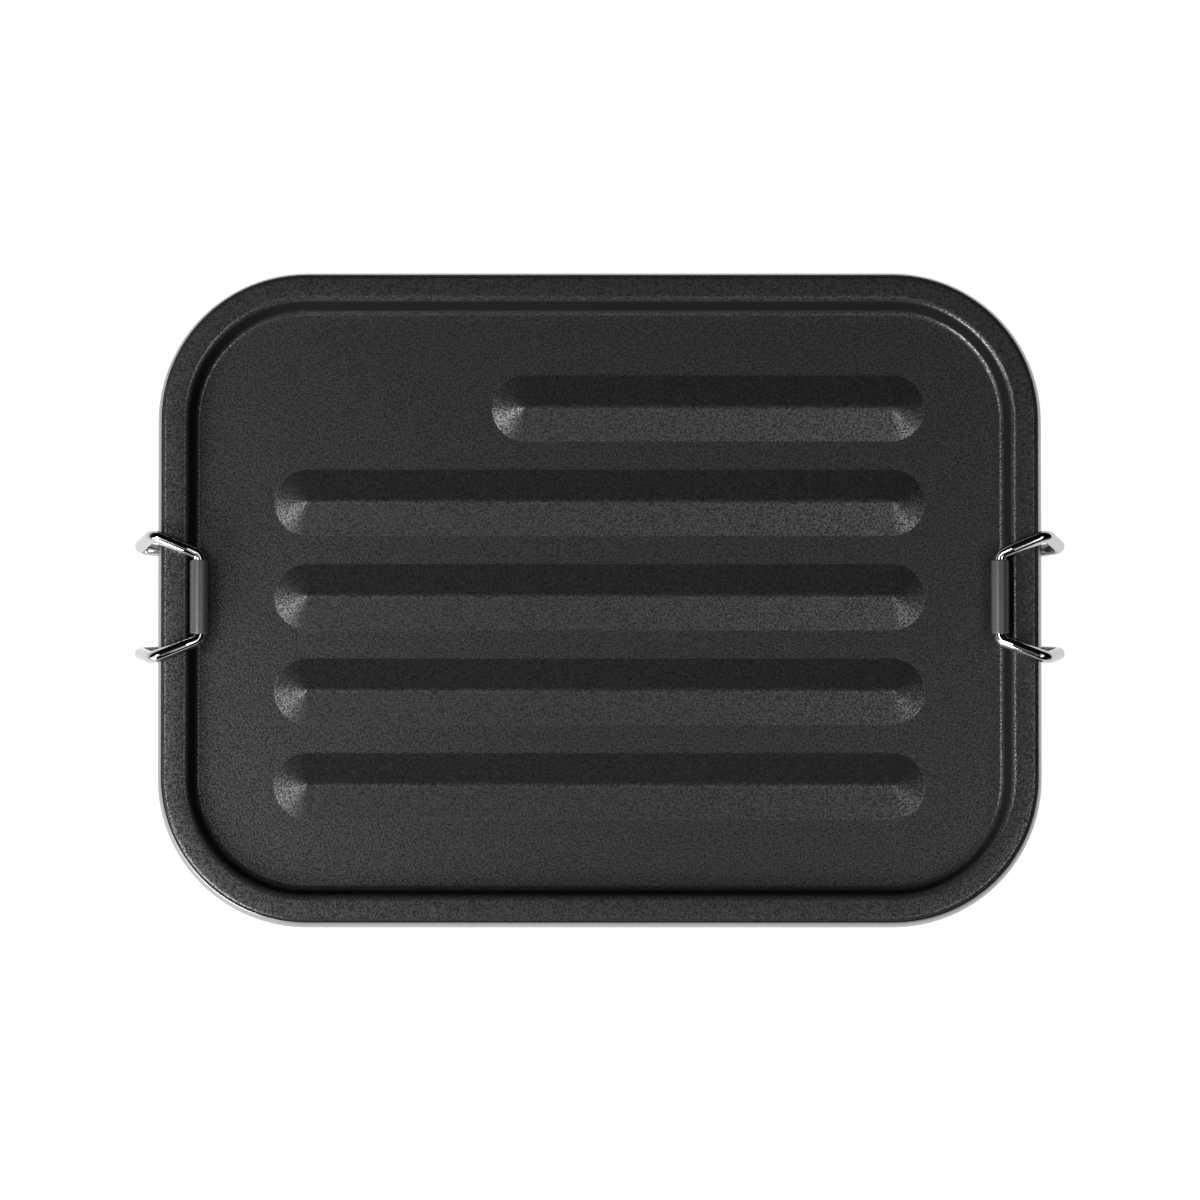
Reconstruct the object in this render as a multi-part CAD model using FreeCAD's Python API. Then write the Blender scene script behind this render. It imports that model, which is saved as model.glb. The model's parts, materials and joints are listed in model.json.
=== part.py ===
import FreeCAD, Part
import math
import os

Vector = FreeCAD.Vector
UP = Vector(0, 0, 1)
ACROSS = Vector(0, 1, 0)
ORIGIN = Vector(0, 0, 0)

# Box body: a drawn aluminium tray with a turned-over rim. All sizes in millimetres.
box_length = 172.0
box_width = 128.0
box_corner_radius = 29.0
box_height = 60.0
box_sheet = 0.9
wall_draft_deg = 2.0
bottom_bend = 8.1
rim_overhang = 3.75
rim_drop = 4.0
rim_throat_bend = 0.6
rim_edge_bend = 1.1
rim_hem_bend = 0.3
rim_hem_return = 2.0
base_recess = 0.8
base_step_run = 0.8
base_step_bend = 0.5
foot_width = 6.0

# Lid: one pressed sheet, a raised rim round a sunken panel.
lid_inset = 0.7
lid_sheet = 0.8
lid_skirt = 2.0
lid_edge_bend = 0.95
lid_flange = 3.4
lid_shoulder_bend = 1.6
lid_wall_angle_deg = 75.0
lid_root_bend = 2.2
lid_depth = 5.0

# Ridges pressed up out of the lid panel, the rear one shorter than the rest.
rib_count = 5
rib_pitch = 18.5
rib_offset = 0.6
rib_width = 12.9
rib_slope_deg = 19.0
rib_crest_radius = 2.0
rib_length = 126.6
short_rib_length = 84.3

# Seal: a soft ring in the channel under the lid rim, with a lip inside the mouth of the box.
seal_thickness = 1.5
seal_lip = 1.3
seal_skirt_gap = 0.3
seal_lip_bend = 0.3
mouth_clearance = 0.3

# Hinge plates: stamped sheet with a rolled eye under the rim, two rivets each.
plate_sheet = 0.7
plate_height = 13.0
plate_corner_radius = 2.5
eye_length = 15.0
eye_end_gap = 0.3
eye_slit = 0.4
eye_rim_gap = 0.35
rivet_diameter = 3.0
rivet_spacing = 8.0
rivet_edge = 5.4
rivet_head_diameter = 5.2
rivet_head_height = 1.1
rivet_tail_height = 0.6
rivet_clearance = 0.05

# Wire clips: round wire, one bend after another from the crossbar to the hinge pins.
wire_diameter = 2.4
wire_bend = 2.0
crossbar_bend = 1.6
pin_clearance = 0.05
pin_reach = 5.0
sleeve_diameter = 3.5
sleeve_length = 14.4
sleeve_inset = 7.35
sleeve_clearance = 0.05
swing_clearance = 0.25
arm_clearance = 0.4
crossbar_margin = 1.1
knee_out = 0.9
knee_spread = 3.7
knee_rise = 1.8
heel_out = 3.9
heel_spread = 0.5
heel_rise = 3.1

# Places worked out from the sizes above.
core_x = box_length / 2 - box_corner_radius
core_y = box_width / 2 - box_corner_radius
draft = math.radians(wall_draft_deg)
crease_z = box_height - box_sheet
wall_top_r = box_corner_radius - rim_overhang
mouth_r = wall_top_r - box_sheet / math.cos(draft)
lid_top = box_height + seal_thickness + lid_sheet
lid_r = box_corner_radius - lid_inset
lid_wall_angle = math.radians(lid_wall_angle_deg)
shoulder_radius = lid_shoulder_bend + lid_sheet
shoulder_r = lid_r - lid_flange - shoulder_radius * math.tan(lid_wall_angle / 2)
root_r = shoulder_r - lid_depth / math.tan(lid_wall_angle)
panel_top = lid_top - lid_depth
pin_radius = wire_diameter / 2
eye_bore_radius = pin_radius + pin_clearance
eye_radius = eye_bore_radius + plate_sheet
rivet_drop = plate_height - rivet_edge
crossbar_half = sleeve_length / 2 + crossbar_margin
knee_half = crossbar_half + knee_spread
leg_half = eye_length / 2 + eye_end_gap + wire_bend
heel_half = leg_half + heel_spread


def wall_r(z):
    """Distance of the outer wall from the core edge at height z."""
    return wall_top_r - (crease_z - z) * math.tan(draft)


pivot_z = box_height - rim_drop - eye_rim_gap - eye_radius
pivot_x = core_x + wall_r(pivot_z) + eye_radius / math.cos(draft)


# Outlines and sheet sections

def corner_arc(before, corner, after, radius):
    """Start, middle and end of the arc that rounds one corner of a path."""
    back = (before - corner).normalize()
    ahead = (after - corner).normalize()
    half_angle = back.getAngle(ahead) / 2
    reach = radius / math.tan(half_angle)
    dip = radius / math.sin(half_angle) - radius
    middle = corner + (back + ahead).normalize() * dip
    return corner + back * reach, middle, corner + ahead * reach


def rounded_wire(points, radii, closed=False):
    """Straight runs through the points, joined by tangent arcs of the given radii."""
    count = len(points)
    stations = []
    for i, (point, radius) in enumerate(zip(points, radii)):
        is_end = not closed and i in (0, count - 1)
        if is_end or radius == 0:
            stations.append((point, None, point))
        else:
            stations.append(corner_arc(points[i - 1], point, points[(i + 1) % count], radius))
    edges = []
    last = count if closed else count - 1
    for i, (start, middle, end) in enumerate(stations):
        if middle is not None:
            edges.append(Part.Arc(start, middle, end).toShape())
        if i < last:
            next_start = stations[(i + 1) % count][0]
            edges.append(Part.LineSegment(end, next_start).toShape())
    return Part.Wire(edges)


def section_point(r, z):
    """A point of a section, r outward from the core edge and z up."""
    return Vector(r, 0, z)


def cap_points(radius, angle, crown):
    """Three points of an arc that falls away outward from its crown through an angle."""
    turns = (0, angle / 2, angle)
    return [crown + section_point(radius * math.sin(a), radius * (math.cos(a) - 1)) for a in turns]


def capped_section(cap, rest):
    """Half section of a turned shape: an arc from its crown, then straight lines back to it."""
    corners = [cap[-1]] + rest + [cap[0]]
    edges = [Part.Arc(*cap).toShape()]
    edges += [Part.LineSegment(a, b).toShape() for a, b in zip(corners, corners[1:])]
    return Part.Face(Part.Wire(edges))


def left_of(direction):
    """Unit vector to the left of a direction in the section plane."""
    return Vector(-direction.z, 0, direction.x)


def sheet_section(points, inside_bends, sheet):
    """Section of bent sheet: the points run along one face, and the metal lies to their left."""
    runs = [(b - a).normalize() for a, b in zip(points, points[1:])]
    far_points = [points[0] + left_of(runs[0]) * sheet]
    near_radii = [0]
    far_radii = [0]
    for point, run, next_run, bend in zip(points[1:], runs, runs[1:], inside_bends):
        left, next_left = left_of(run), left_of(next_run)
        far_points.append(point + (left + next_left) * (sheet / (1 + left.dot(next_left))))
        turns_left = left.dot(next_run) > 0
        near_radii.append(bend + sheet if turns_left else bend)
        far_radii.append(bend if turns_left else bend + sheet)
    far_points.append(points[-1] + left_of(runs[-1]) * sheet)
    near_radii.append(0)
    far_radii.append(0)
    outline = points + far_points[::-1]
    radii = near_radii + far_radii[::-1]
    return Part.Face(rounded_wire(outline, radii, closed=True))


def rounded_ring(section, half_x, half_y):
    """Carry a section round a rectangle whose corners are turned about its core corners."""
    pieces = []
    for quarter, (run_x, run_y) in enumerate([(half_x, half_y), (half_y, half_x)] * 2):
        side = section.copy()
        side.translate(Vector(run_x, -run_y, 0))
        corner = section.revolve(ORIGIN, UP, 90)
        corner.translate(Vector(run_x, run_y, 0))
        for piece in (side.extrude(ACROSS * (2 * run_y)), corner):
            piece.rotate(ORIGIN, UP, 90 * quarter)
            pieces.append(piece)
    return pieces


def core_plate(half_x, half_y, z_low, thickness):
    """Flat middle that the ring pieces close round."""
    return Part.makeBox(2 * half_x, 2 * half_y, thickness, Vector(-half_x, -half_y, z_low))


def joined(pieces):
    """One clean solid from pieces that share faces."""
    return pieces[0].multiFuse(pieces[1:]).removeSplitter().Solids[0]


# Box body

def make_box_body():
    """Tray with drafted walls, a turned-over rim and a pressed-up base inside a foot ring."""
    bottom_r = wall_r(0)
    bottom_radius = bottom_bend + box_sheet
    foot_in_r = bottom_r - bottom_radius * math.tan((math.pi / 2 - draft) / 2) - foot_width
    hem_z = box_height - rim_drop + box_sheet
    rim_inside_r = box_corner_radius - box_sheet
    path = [
        section_point(0, base_recess),
        section_point(foot_in_r - base_step_run, base_recess),
        section_point(foot_in_r, 0),
        section_point(bottom_r, 0),
        section_point(wall_top_r, crease_z),
        section_point(rim_inside_r, crease_z),
        section_point(rim_inside_r, hem_z),
        section_point(box_corner_radius - rim_hem_return, hem_z),
    ]
    bends = [base_step_bend, base_step_bend, bottom_bend, rim_throat_bend, rim_edge_bend, rim_hem_bend]
    pieces = rounded_ring(sheet_section(path, bends, box_sheet), core_x, core_y)
    pieces.append(core_plate(core_x, core_y, base_recess, box_sheet))
    body = joined(pieces)
    holes = [on_both_ends(rivet_hole(y)) for y in rivet_places()]
    return body.cut([hole for pair in holes for hole in pair])


# Lid and seal

def rib_solid(length, sink):
    """Ridge of V section with a rounded crest and half-cone ends, its foot sunk below z = 0."""
    half = rib_width / 2
    slope = math.radians(rib_slope_deg)
    apex = half * math.tan(slope)
    top = apex - rib_crest_radius * (1 / math.cos(slope) - 1)
    crest = cap_points(rib_crest_radius, slope, section_point(0, top))
    foot = [section_point(half, 0), section_point(half, -sink), section_point(0, -sink)]
    half_section = capped_section(crest, foot)
    run = length / 2 - half
    pieces = []
    for turn in (0, 180):
        end = half_section.revolve(ORIGIN, UP, 180)
        end.rotate(ORIGIN, UP, -90)
        end.translate(Vector(run, 0, 0))
        flank = half_section.copy()
        flank.rotate(ORIGIN, UP, 90)
        flank.translate(Vector(-run, 0, 0))
        for piece in (end, flank.extrude(Vector(2 * run, 0, 0))):
            piece.rotate(ORIGIN, UP, turn)
            pieces.append(piece)
    return joined(pieces)


def rib_places():
    """Length and middle of each ridge; the short rear one ends level with the others at the right."""
    places = []
    for i in range(rib_count):
        y = rib_offset + (i - (rib_count - 1) / 2) * rib_pitch
        length = short_rib_length if i == rib_count - 1 else rib_length
        places.append((length, Vector((rib_length - length) / 2, y, 0)))
    return places


def make_lid():
    """Pressed lid: rim, stepped wall and panel in one sheet, ridges standing and hollow beneath."""
    path = [
        section_point(lid_r, lid_top - lid_skirt),
        section_point(lid_r, lid_top),
        section_point(shoulder_r, lid_top),
        section_point(root_r, panel_top),
        section_point(0, panel_top),
    ]
    bends = [lid_edge_bend, lid_shoulder_bend, lid_root_bend]
    pieces = rounded_ring(sheet_section(path, bends, lid_sheet), core_x, core_y)
    pieces.append(core_plate(core_x, core_y, panel_top - lid_sheet, lid_sheet))
    lid = joined(pieces)
    for length, place in rib_places():
        ridge = rib_solid(length, lid_sheet / 2)
        hollow = ridge.copy()
        ridge.translate(place + UP * panel_top)
        hollow.translate(place + UP * (panel_top - lid_sheet))
        lid = lid.fuse(ridge).cut(hollow)
    return lid.removeSplitter().Solids[0]


def make_seal():
    """Ring that fills the lid channel, rests on the rim and reaches into the mouth with a lip."""
    inner_r = shoulder_r + lid_sheet * math.tan(lid_wall_angle / 2)
    outer_r = lid_r - lid_sheet - seal_skirt_gap
    seal_top = lid_top - lid_sheet
    lip_z = box_height - seal_lip
    lip_r = mouth_r - mouth_clearance
    outline = [
        section_point(outer_r, seal_top),
        section_point(inner_r, seal_top),
        section_point(inner_r - (seal_top - lip_z) / math.tan(lid_wall_angle), lip_z),
        section_point(lip_r, lip_z),
        section_point(lip_r, box_height),
        section_point(outer_r, box_height),
    ]
    radii = [lid_edge_bend, lid_shoulder_bend, seal_lip_bend, seal_lip_bend, 0, 0]
    section = Part.Face(rounded_wire(outline, radii, closed=True))
    return joined(rounded_ring(section, core_x, core_y))


# Hinge plates and rivets

def on_both_ends(shape):
    """The shape on the right end of the box, and its twin on the left end."""
    twin = shape.copy()
    twin.rotate(ORIGIN, UP, 180)
    return shape, twin


def against_wall(shape):
    """Move a shape from the eye's own frame to the right end, leaning with the drafted wall."""
    shape.rotate(ORIGIN, ACROSS, wall_draft_deg)
    shape.translate(Vector(pivot_x, 0, pivot_z))
    return shape


def rivet_places():
    """Sideways places of the front and rear rivet of a plate."""
    return [-rivet_spacing / 2, rivet_spacing / 2]


def rivet_hole(y):
    """Round cutter through plate and wall where a rivet goes."""
    reach = eye_radius + box_sheet
    start = Vector(-2 * reach, y, -rivet_drop)
    radius = rivet_diameter / 2 + rivet_clearance
    return against_wall(Part.makeCylinder(radius, 2 * reach, start, Vector(1, 0, 0)))


def make_hinge_plate():
    """Flat plate on the wall whose upper edge is rolled into an eye round the hinge pins."""
    half = eye_length / 2
    back_x = -eye_radius
    outline = [Vector(back_x, y, z) for y, z in
               ((-half, 0), (-half, -plate_height), (half, -plate_height), (half, 0))]
    radii = [0, plate_corner_radius, plate_corner_radius, 0]
    plate = Part.Face(rounded_wire(outline, radii, closed=True)).extrude(Vector(plate_sheet, 0, 0))
    start = Vector(0, -half, 0)
    eye = Part.makeCylinder(eye_radius, eye_length, start, ACROSS)
    bore = Part.makeCylinder(eye_bore_radius, eye_length, start, ACROSS)
    slit_corner = Vector(back_x + plate_sheet, -half, -eye_radius)
    slit = Part.makeBox(eye_slit, eye_length, eye_radius, slit_corner)
    rolled = plate.fuse(eye).cut([bore, slit]).removeSplitter().Solids[0]
    return against_wall(rolled).cut([rivet_hole(y) for y in rivet_places()])


def make_rivet(y):
    """Rivet turned upright, its domed head up, then laid through the plate and the wall."""
    head_r = rivet_head_diameter / 2
    shank_r = rivet_diameter / 2
    grip = plate_sheet + box_sheet
    dome_radius = (head_r ** 2 + rivet_head_height ** 2) / (2 * rivet_head_height)
    dome_angle = math.asin(head_r / dome_radius)
    dome = cap_points(dome_radius, dome_angle, section_point(0, rivet_head_height))
    shank = [section_point(shank_r, 0), section_point(shank_r, -grip)]
    tail_z = -grip - rivet_tail_height
    tail_r = head_r - rivet_tail_height / 2
    tail = [section_point(head_r, -grip), section_point(tail_r, tail_z), section_point(0, tail_z)]
    rivet = capped_section(dome, shank + tail).revolve(ORIGIN, UP, 360)
    rivet.rotate(ORIGIN, ACROSS, 90)
    rivet.translate(Vector(plate_sheet - eye_radius, y, -rivet_drop))
    return against_wall(rivet)


# Wire clips

def shoulder_offset():
    """From the hinge axis to the centre of the lid's shoulder rounding."""
    centre = Vector(core_x + lid_r - lid_flange, 0, lid_top - shoulder_radius)
    return centre - Vector(pivot_x, 0, pivot_z)


def swing_radius(diameter, clearance):
    """Distance from the hinge axis at which a round bar swings clear of the lid shoulder."""
    return shoulder_offset().Length + shoulder_radius + clearance + diameter / 2


def crossbar_place():
    """Middle of the crossbar: at its inset from the lid edge, as low as the swing allows."""
    x = core_x + lid_r - sleeve_inset
    rise = math.sqrt(swing_radius(sleeve_diameter, swing_clearance) ** 2 - (pivot_x - x) ** 2)
    return Vector(x, 0, pivot_z + rise)


def make_clip_wire():
    """Wire from pin to pin: leg, heel, knee, arm over the rim, crossbar and back again."""
    bar = crossbar_place()
    knee_x = core_x + box_corner_radius + knee_out
    heel_x = core_x + box_corner_radius + heel_out
    arm_radius = swing_radius(wire_diameter, arm_clearance)
    over_rim = Vector(pivot_x, 0, pivot_z) + shoulder_offset().normalize() * arm_radius
    share = (over_rim.x - bar.x) / (knee_x - bar.x)
    over_rim.y = crossbar_half + share * (knee_half - crossbar_half)
    half_path = [
        Vector(pivot_x, leg_half - pin_reach - wire_bend, pivot_z),
        Vector(pivot_x, leg_half, pivot_z),
        Vector(heel_x, heel_half, pivot_z + heel_rise),
        Vector(knee_x, knee_half, lid_top + knee_rise),
        over_rim,
        Vector(bar.x, crossbar_half, bar.z),
    ]
    half_bends = [0, wire_bend, wire_bend, wire_bend, wire_bend, crossbar_bend]
    far_half = [Vector(p.x, -p.y, p.z) for p in half_path[::-1]]
    path = rounded_wire(half_path + far_half, half_bends + half_bends[::-1])
    end = Part.Wire(Part.Circle(half_path[0], ACROSS, pin_radius).toShape())
    return path.makePipeShell([end], True, False)


def make_clip_sleeve():
    """Tube that covers the crossbar."""
    start = crossbar_place() - ACROSS * (sleeve_length / 2)
    tube = Part.makeCylinder(sleeve_diameter / 2, sleeve_length, start, ACROSS)
    bore = Part.makeCylinder(pin_radius + sleeve_clearance, sleeve_length, start, ACROSS)
    return tube.cut(bore)


# The whole lunch box

def make_pieces():
    """Every piece by its name."""
    pieces = {"box_body": make_box_body(), "lid": make_lid(), "lid_seal": make_seal()}
    paired = {
        "hinge_plate": make_hinge_plate(),
        "clip_wire": make_clip_wire(),
        "clip_sleeve": make_clip_sleeve(),
    }
    for name, shape in paired.items():
        pieces["right_" + name], pieces["left_" + name] = on_both_ends(shape)
    for y, near, far in zip(rivet_places(), ("front", "rear"), ("rear", "front")):
        right, left = on_both_ends(make_rivet(y))
        pieces["right_" + near + "_rivet"] = right
        pieces["left_" + far + "_rivet"] = left
    return pieces


os.makedirs("parts", exist_ok=True)
for piece_name, piece_shape in make_pieces().items():
    piece_shape.exportStep("parts/" + piece_name + ".step")
    print(piece_name, "valid" if piece_shape.isValid() else "broken", len(piece_shape.Solids),
          round(piece_shape.Volume, 2))
print("hinge axis", round(pivot_x, 3), round(pivot_z, 3), "lid top", round(lid_top, 3))
print("crossbar", crossbar_place())
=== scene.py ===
"""Metal lunch box with a ridged lid and two wire clips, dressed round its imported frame.

Sizes in the classes are millimetres, or metres where a name ends in _m. The meshes are scaled to metres when
they are made.
"""

import json
import logging
import math
from dataclasses import dataclass
from enum import Enum
from typing import Any, Mapping, Optional, Sequence, Union

import bmesh
import bpy
from mathutils import Matrix, Vector


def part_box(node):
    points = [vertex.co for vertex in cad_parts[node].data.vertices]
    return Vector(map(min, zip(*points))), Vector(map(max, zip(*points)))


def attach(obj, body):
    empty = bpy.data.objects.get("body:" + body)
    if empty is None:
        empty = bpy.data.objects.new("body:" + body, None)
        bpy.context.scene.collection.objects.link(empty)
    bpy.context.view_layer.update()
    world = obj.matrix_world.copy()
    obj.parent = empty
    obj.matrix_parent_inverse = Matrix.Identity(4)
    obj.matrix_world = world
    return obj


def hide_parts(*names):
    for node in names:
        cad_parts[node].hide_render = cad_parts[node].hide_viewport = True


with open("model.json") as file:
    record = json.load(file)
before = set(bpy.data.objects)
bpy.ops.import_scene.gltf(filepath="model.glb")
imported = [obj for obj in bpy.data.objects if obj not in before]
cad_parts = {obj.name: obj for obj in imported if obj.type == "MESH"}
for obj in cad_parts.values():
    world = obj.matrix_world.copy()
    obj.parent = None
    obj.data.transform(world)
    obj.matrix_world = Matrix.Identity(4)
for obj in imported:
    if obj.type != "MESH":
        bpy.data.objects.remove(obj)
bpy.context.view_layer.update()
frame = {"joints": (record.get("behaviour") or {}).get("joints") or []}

MM = 0.001
UP = Vector((0.0, 0.0, 1.0))
FRONT_LEFT = Vector((-1.0, -1.0, 0.0)).normalized()
ACROSS = Vector((0.0, 1.0, 0.0))
ARC_STEP = math.radians(7.5)
MERGE_DISTANCE = 1e-4
SHARP_ANGLE = math.radians(40)
RUN_UV = "run"

log = logging.getLogger("lunch_box")


class End(Enum):
    """The two short ends of the box, with the turn about Z that takes a right piece there."""

    RIGHT = 0.0
    LEFT = math.pi

    @property
    def word(self) -> str:
        """Word for this end in the names of pieces."""
        return self.name.lower()

    def turn(self) -> Matrix:
        """Turn about the vertical that carries a piece from the right end to this one."""
        return Matrix.Rotation(self.value, 4, "Z")


# Shader expressions

Colour = tuple[float, float, float]
Levels = tuple[float, float]
WHITE: Colour = (1.0, 1.0, 1.0)


class Socket:
    """Output of a shader node; Python operators on it add Math nodes."""

    def __init__(self, graph: "Graph", output: bpy.types.NodeSocket) -> None:
        """Keep the graph and the output that this stands for."""
        self.graph = graph
        self.output = output

    def _math(self, operation: str, left: "Value", right: "Value") -> "Socket":
        """Math node on two values."""
        return self.graph.node("ShaderNodeMath", {"operation": operation}, {0: left, 1: right})

    def __add__(self, other: "Value") -> "Socket":
        """Sum."""
        return self._math("ADD", self, other)

    __radd__ = __add__

    def __sub__(self, other: "Value") -> "Socket":
        """Difference."""
        return self._math("SUBTRACT", self, other)

    def __rsub__(self, other: "Value") -> "Socket":
        """Difference from a plain number."""
        return self._math("SUBTRACT", other, self)

    def __mul__(self, other: "Value") -> "Socket":
        """Product."""
        return self._math("MULTIPLY", self, other)

    __rmul__ = __mul__


Value = Union[Socket, float, Sequence[float]]


class Graph:
    """Node tree of a material or of the world, with one method that adds any node."""

    MIX_FACTOR, MIX_LOW, MIX_HIGH, MIX_COLOUR = 0, 6, 7, 2

    def __init__(self, tree: bpy.types.NodeTree) -> None:
        """Start from an empty tree."""
        self.tree = tree
        tree.nodes.clear()

    def node(self, kind: str, settings: Optional[Mapping[str, Any]] = None,
             inputs: Optional[Mapping[Union[str, int], Value]] = None,
             output: Union[str, int] = 0) -> Optional[Socket]:
        """Add a node, set it up, then fill its sockets.

        Args:
            kind: Blender's type name of the node.
            settings: properties of the node, set before its sockets.
            inputs: plain values or links, by socket name or number.
            output: which output to hand back.

        Returns:
            That output, or None for a node that has no outputs.
        """
        made = self.tree.nodes.new(kind)
        for name, setting in (settings or {}).items():
            setattr(made, name, setting)
        for key, value in (inputs or {}).items():
            target = made.inputs[key]
            if isinstance(value, Socket):
                self.tree.links.new(value.output, target)
            elif isinstance(value, (int, float)):
                target.default_value = value
            else:
                width = len(target.default_value)
                target.default_value = (tuple(value) + (1.0,))[:width]
        return Socket(self, made.outputs[output]) if made.outputs else None

    def place(self) -> Socket:
        """Position on the piece at rest, in millimetres."""
        spot = self.node("ShaderNodeTexCoord", output="Object")
        return self.stretch(spot, (1 / MM, 1 / MM, 1 / MM))

    def run(self) -> Socket:
        """Lengths in millimetres along and across a swept piece."""
        return self.node("ShaderNodeUVMap", {"uv_map": RUN_UV})

    def stretch(self, vector: Socket, factors: Sequence[float]) -> Socket:
        """Multiply a vector by a factor for each axis."""
        return self.node("ShaderNodeVectorMath", {"operation": "MULTIPLY"}, {0: vector, 1: factors})

    def dot(self, vector: Socket, axis: Sequence[float]) -> Socket:
        """Dot product of a vector and a fixed axis."""
        settings = {"operation": "DOT_PRODUCT"}
        return self.node("ShaderNodeVectorMath", settings, {0: vector, 1: axis}, "Value")

    def noise(self, vector: Socket, size: float, detail: float = 2.0) -> Socket:
        """Smooth noise whose lumps are about that size."""
        return self.node("ShaderNodeTexNoise", {}, {"Vector": vector, "Scale": 1 / size, "Detail": detail})

    def step(self, value: Socket, low: float, high: float) -> Socket:
        """Smooth step from 0 at the low value to 1 at the high value."""
        inputs = {"Value": value, "From Min": low, "From Max": high}
        return self.node("ShaderNodeMapRange", {"interpolation_type": "SMOOTHSTEP"}, inputs)

    def mix(self, factor: Value, low: Value, high: Value) -> Socket:
        """Mix of two colours."""
        inputs = {self.MIX_FACTOR: factor, self.MIX_LOW: low, self.MIX_HIGH: high}
        return self.node("ShaderNodeMix", {"data_type": "RGBA"}, inputs, self.MIX_COLOUR)

    def bump(self, height: Socket, depth_mm: float) -> Socket:
        """Normal that a height of 0 to 1 gives when it is that deep."""
        return self.node("ShaderNodeBump", {}, {"Height": height, "Distance": depth_mm * MM, "Strength": 1.0})


# Finishes

@dataclass(frozen=True)
class Finish:
    """One surface finish: the record's slot that it belongs to and its shader."""

    slot: str

    def shade(self, graph: Graph) -> dict[str, Value]:
        """Inputs of the Principled shader for this finish."""
        raise NotImplementedError

    def surface(self, graph: Graph) -> Socket:
        """Shader of the whole surface."""
        return graph.node("ShaderNodeBsdfPrincipled", {}, self.shade(graph))

    def material(self) -> bpy.types.Material:
        """The finish as a material, made once.

        Returns:
            The Blender material named after the slot.
        """
        found = bpy.data.materials.get(self.slot + "_finish")
        if found is not None:
            return found
        made = bpy.data.materials.new(self.slot + "_finish")
        made.use_nodes = True
        graph = Graph(made.node_tree)
        graph.node("ShaderNodeOutputMaterial", {}, {"Surface": self.surface(graph)})
        return made


@dataclass(frozen=True)
class GrainCoating(Finish):
    """Black coating on pressed sheet, with a fine pitted grain; on steep slopes it turns dull near-black,
    which is painted shade on the stepped wall and the lid's edge.
    """

    slot: str = "lid_coating"
    dark: Colour = (0.0125, 0.0125, 0.0127)
    light: Colour = (0.0240, 0.0240, 0.0243)
    roughness: float = 0.30
    pit_roughness: float = 0.07
    grain: float = 0.37
    grain_detail: float = 1.0
    grain_levels: Levels = (0.33, 0.62)
    grain_depth: float = 0.03
    usual_top: float = 0.6
    pit_gloss: float = 0.20
    specular_level: float = 0.73
    # Dull near-black coating: grain in the pits, painted shade on steep slopes.
    matt: Colour = (0.0115, 0.0115, 0.0116)
    matt_roughness: float = 0.8
    steep_slope: float = math.radians(62.0)
    gentle_slope: float = math.radians(30.0)

    def surface(self, graph: Graph) -> Socket:
        """Glossy coating, mixed with a dull near-black coating in its pits (grain) and on steep slopes
        (painted shade).

        Args:
            graph: node tree of the material.

        Returns:
            The mixed shader.
        """
        grain = graph.noise(graph.place(), self.grain, self.grain_detail)
        tops = graph.step(grain, *self.grain_levels)
        gloss = {
            "Base Color": graph.mix(tops, self.dark, self.light),
            "Roughness": self.roughness + self.pit_roughness * (self.usual_top - tops),
            "Normal": graph.bump(grain, self.grain_depth),
            "Specular IOR Level": self.specular_level,
        }
        matt = {"Base Color": self.matt, "Roughness": self.matt_roughness, "Specular IOR Level": 0.0}
        # Steep slopes take the dull coating in full: painted shade on the wall and the edge.
        upright = graph.dot(graph.node("ShaderNodeTexCoord", output="Normal"), UP)
        steep, gentle = (math.cos(slope) ** 2 for slope in (self.steep_slope, self.gentle_slope))
        flatness = graph.step(upright * upright, steep, gentle)
        return graph.node("ShaderNodeMixShader", {}, {
            0: flatness * (self.pit_gloss + (1 - self.pit_gloss) * tops),
            1: graph.node("ShaderNodeBsdfPrincipled", {}, matt),
            2: graph.node("ShaderNodeBsdfPrincipled", {}, gloss),
        })


@dataclass(frozen=True)
class DrawnAluminium(Finish):
    """Satin aluminium with faint lines along the draw and soft rubbed patches."""

    slot: str = "box_aluminium"
    bright: Colour = (0.374, 0.374, 0.384)
    dull: Colour = (0.362, 0.362, 0.372)
    roughness: float = 0.31
    roughness_spread: float = 0.10
    line: float = 0.35
    line_stretch: float = 0.02
    line_detail: float = 3.0
    line_depth: float = 0.004
    patch: float = 22.0
    patch_detail: float = 4.0
    patch_levels: Levels = (0.35, 0.7)
    patch_share: float = 0.2

    def shade(self, graph: Graph) -> dict[str, Value]:
        """Draw lines run down the walls; patches vary the gloss.

        Args:
            graph: node tree of the material.

        Returns:
            Inputs of the Principled shader.
        """
        run = graph.stretch(graph.run(), (1, self.line_stretch, 1))
        lines = graph.noise(run, self.line, self.line_detail)
        patch = graph.noise(graph.place(), self.patch, self.patch_detail)
        rubbed = graph.step(patch, *self.patch_levels)
        dulling = rubbed * self.patch_share + lines * (1 - self.patch_share)
        return {
            "Base Color": graph.mix(rubbed, self.bright, self.dull),
            "Metallic": 1.0,
            "Roughness": self.roughness + self.roughness_spread * dulling,
            "Normal": graph.bump(lines, self.line_depth),
        }


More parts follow.
